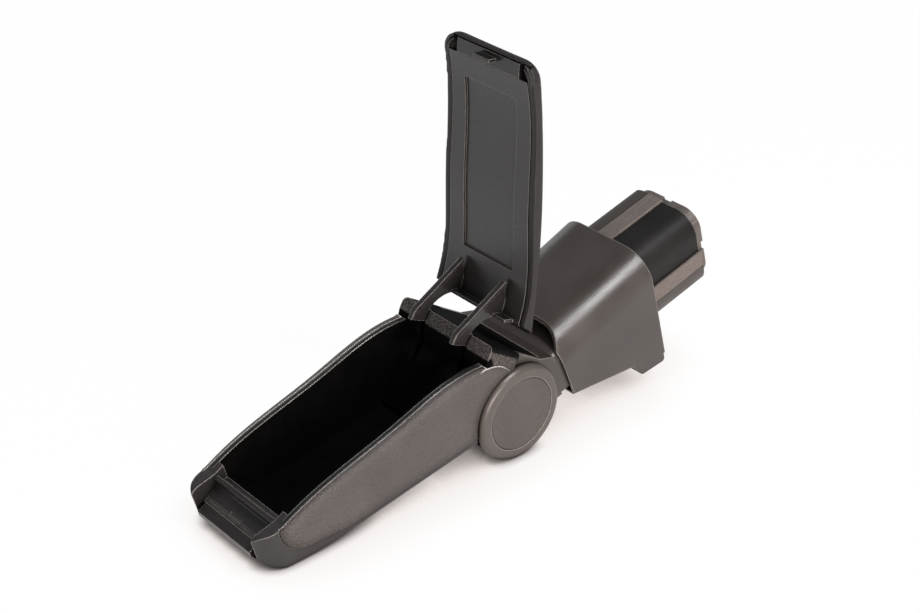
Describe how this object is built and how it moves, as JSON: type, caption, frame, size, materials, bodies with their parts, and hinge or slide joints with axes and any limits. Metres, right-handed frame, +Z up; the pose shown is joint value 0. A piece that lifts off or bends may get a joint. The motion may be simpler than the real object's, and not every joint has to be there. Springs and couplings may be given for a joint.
{
  "type": "car centre armrest",
  "caption": "Folding car centre armrest with a storage bin under a hinged padded lid, a front latch, round hinge caps and a plug base that pushes into the console",
  "frame": {"origin": "centre of the bounding box at floor level; the hinge caps and the nose of the bin touch the floor", "axes": "+X towards the plug, +Y towards the far side of the picture, +Z up"},
  "size_m": [0.4929, 0.1152, 0.3353],
  "materials": {
    "shell_plastic": "fine satin moulding",
    "grained_plastic": "leather grain moulding",
    "satin_plastic": "satin moulding",
    "strip_rubber": "matt ribbed strip",
    "steel": "plain zinc plated",
    "flocked_lining": "short flock",
    "leatherette": "fine grained cover"
  },
  "bodies": {
    "base": {"base_shroud": "shell_plastic", "yoke": "shell_plastic", "plug_core": "shell_plastic", "plug_collar": "shell_plastic", "grip_strip_top": "strip_rubber", "grip_strip_far": "strip_rubber", "grip_strip_bottom": "strip_rubber", "grip_strip_near": "strip_rubber", "hinge_axle": "steel", "axle_nut": "steel", "friction_washer_near": "steel", "friction_washer_far": "steel", "disc_rim_near": "grained_plastic", "disc_rim_far": "grained_plastic", "disc_insert_near": "grained_plastic", "disc_insert_far": "grained_plastic"},
    "arm": {"bin_shell": "shell_plastic", "side_panel_near": "grained_plastic", "side_panel_far": "grained_plastic", "bin_liner": "flocked_lining", "hinge_housing": "shell_plastic", "housing_screws": "steel", "lid_pin": "steel", "latch_pin": "steel", "latch_spring": "steel"},
    "lid": {"lid_panel": "satin_plastic", "lid_catch": "satin_plastic", "lid_pad": "leatherette"},
    "latch": {"latch_lever": "satin_plastic"}
  },
  "joints": [
    {"name": "arm_fold", "type": "hinge", "parent": "base", "child": "arm", "pos_m": [0.00596, 0, 0.042], "axis": [0, -1, 0], "range_deg": [0, 90]},
    {"name": "lid_hinge", "type": "hinge", "parent": "arm", "child": "lid", "pos_m": [-0.00316, 0, 0.09381], "axis": [0, -1, 0], "range_deg": [0, 108.8]},
    {"name": "latch_rock", "type": "hinge", "parent": "arm", "child": "latch", "pos_m": [-0.22961, 0, 0.02091], "axis": [0, 1, 0], "range_deg": [0, 8], "stiffness_Nm_per_rad": 0.6, "springref_deg": -2.86}
  ]
}
